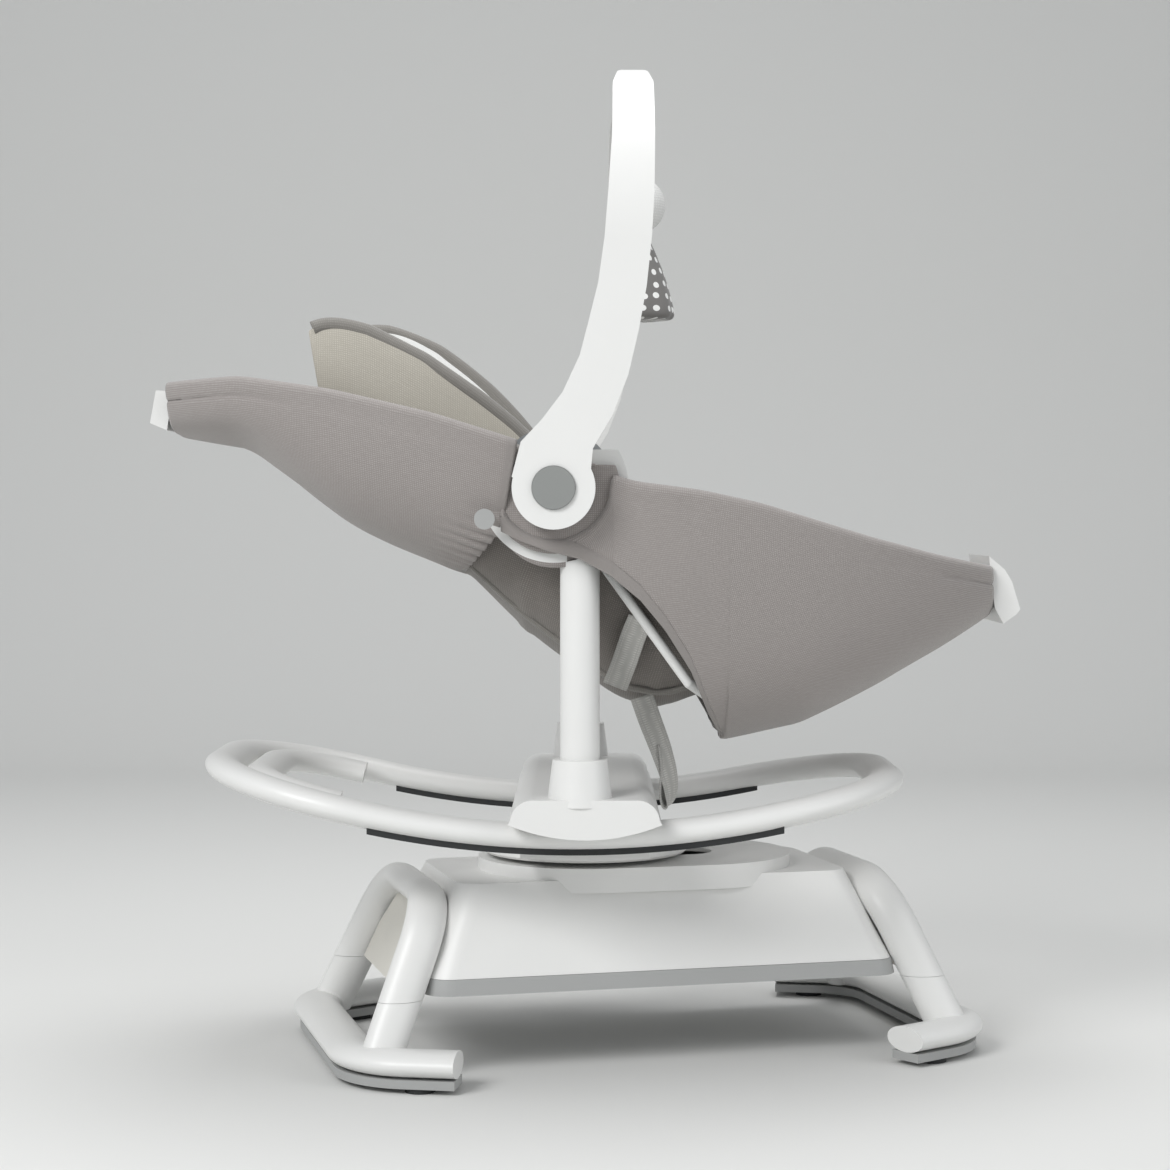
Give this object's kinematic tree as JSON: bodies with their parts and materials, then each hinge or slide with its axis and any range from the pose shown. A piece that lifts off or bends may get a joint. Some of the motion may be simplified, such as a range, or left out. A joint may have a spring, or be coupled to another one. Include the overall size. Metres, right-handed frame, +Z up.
{
  "type": "baby swing",
  "caption": "Baby swing: reclining fabric seat and toy arch on a rocker that docks on a gliding turntable of a low white motor base with sled feet.",
  "frame": {"origin": "on the floor under the middle of the seat's length, on the turntable's axis", "axes": "+X towards the foot end of the seat, +Z up"},
  "size_m": [0.72, 0.4539, 0.811],
  "materials": {
    "white_plastic": "satin",
    "grey_plastic": "satin",
    "rubber": "matte",
    "steel": "satin",
    "board": "satin",
    "grey_fabric": "matte",
    "cream_fabric": "matte",
    "webbing": "matte"
  },
  "bodies": {
    "base": {"base_shell": "white_plastic", "base_tray": "grey_plastic", "battery_door": "grey_plastic", "case_screws": "steel", "end_frame_head": "white_plastic", "end_frame_foot": "white_plastic", "foot_frame_head": "white_plastic", "foot_frame_foot": "white_plastic", "foot_sole_head": "grey_plastic", "foot_sole_foot": "grey_plastic", "foot_pads": "rubber", "end_panel_head": "white_plastic", "end_panel_foot": "white_plastic", "battery_cells": "steel", "circuit_board": "board", "speaker": "grey_plastic", "drive_motor": "steel", "guide_rods": "steel", "power_inlet": "grey_plastic"},
    "dial": {"control_dial": "grey_plastic"},
    "power_switch": {"power_button": "grey_plastic"},
    "roller": {"drive_roller": "rubber"},
    "glide_carriage": {"carriage_block": "grey_plastic", "slot_cover": "white_plastic", "spindle": "steel"},
    "turntable": {"turntable_disc": "white_plastic", "dock_block": "white_plastic"},
    "rocker": {"rocker_rail_near": "white_plastic", "rocker_rail_far": "white_plastic", "rocker_head_bend": "white_plastic", "rocker_foot_bend": "white_plastic", "grip_strip_near": "rubber", "grip_strip_far": "rubber", "rocker_housing": "white_plastic", "rocker_hub_base": "white_plastic", "post_near": "white_plastic", "post_far": "white_plastic", "pivot_housing_near": "white_plastic", "pivot_housing_far": "white_plastic"},
    "stand": {"kickstand": "white_plastic"},
    "seat": {"seat_frame_near": "steel", "seat_frame_far": "steel", "leg_frame": "white_plastic", "head_grip": "white_plastic", "foot_grip": "white_plastic", "back_cover": "grey_fabric", "front_cover": "grey_fabric", "seat_liner": "grey_fabric", "newborn_insert": "cream_fabric", "harness_straps": "webbing", "strap_anchors": "webbing", "strap_tail": "webbing", "buckle_housing": "grey_plastic", "cover_snaps": "grey_plastic"},
    "buckle_release": {"buckle_button": "grey_plastic"},
    "toy_arch": {"toy_bar": "white_plastic"},
    "arch_release_near": {"hub_button_near": "grey_plastic"},
    "arch_release_far": {"hub_button_far": "grey_plastic"},
    "hanging_toy": {"toy_head": "cream_fabric", "toy_body": "grey_fabric"}
  },
  "joints": [
    {"name": "glide", "type": "slide", "parent": "base", "child": "glide_carriage", "axis": [0.9673, 0.2538, 0], "range_m": [0, 0.088]},
    {"name": "turntable_swivel", "type": "hinge", "parent": "glide_carriage", "child": "turntable", "pos_m": [0, 0, 0.16], "axis": [0, 0, 1], "range_deg": [-75.3, 104.7]},
    {"name": "rocker_lift", "type": "slide", "parent": "turntable", "child": "rocker", "axis": [0, 0, 1], "range_m": [0, 0.12]},
    {"name": "kickstand_fold", "type": "hinge", "parent": "rocker", "child": "stand", "pos_m": [-0.20553, 0, 0.21932], "axis": [0, -1, 0], "range_deg": [0, 75]},
    {"name": "seat_recline", "type": "hinge", "parent": "rocker", "child": "seat", "pos_m": [-0.024, 0, 0.47], "axis": [0, 1, 0], "range_deg": [-12, 0]},
    {"name": "toy_bar_tilt", "type": "hinge", "parent": "rocker", "child": "toy_arch", "pos_m": [-0.024, 0, 0.47], "axis": [0, 1, 0], "range_deg": [-35, 60]},
    {"name": "toy_swing", "type": "hinge", "parent": "toy_arch", "child": "hanging_toy", "pos_m": [0.044, 0, 0.792], "axis": [0, 1, 0], "range_deg": [-20, 20]},
    {"name": "arch_release_near_press", "type": "slide", "parent": "toy_arch", "child": "arch_release_near", "axis": [0, 1, 0], "range_m": [0, 0.003], "stiffness_N_per_m": 600},
    {"name": "arch_release_far_press", "type": "slide", "parent": "toy_arch", "child": "arch_release_far", "axis": [0, -1, 0], "range_m": [0, 0.003], "stiffness_N_per_m": 600},
    {"name": "buckle_press", "type": "slide", "parent": "seat", "child": "buckle_release", "axis": [-1, 0, 0], "range_m": [0, 0.004], "stiffness_N_per_m": 600},
    {"name": "dial_turn", "type": "hinge", "parent": "base", "child": "dial", "pos_m": [0.25405, 0.01289, 0.096], "axis": [0.8904, 0.2336, 0.3907], "range_deg": [0, 270]},
    {"name": "power_press", "type": "slide", "parent": "base", "child": "power_switch", "axis": [-0.8904, -0.2336, -0.3907], "range_m": [0, 0.002], "stiffness_N_per_m": 600},
    {"name": "roller_spin", "type": "hinge", "parent": "base", "child": "roller", "pos_m": [-0.02902, -0.00761, 0.0996], "axis": [-0.2538, 0.9673, 0], "range_deg": [-360, 360]}
  ],
  "couplings": [
    {"joint": "roller_spin", "follows": "glide", "rad_per_m": 69.444}
  ]
}
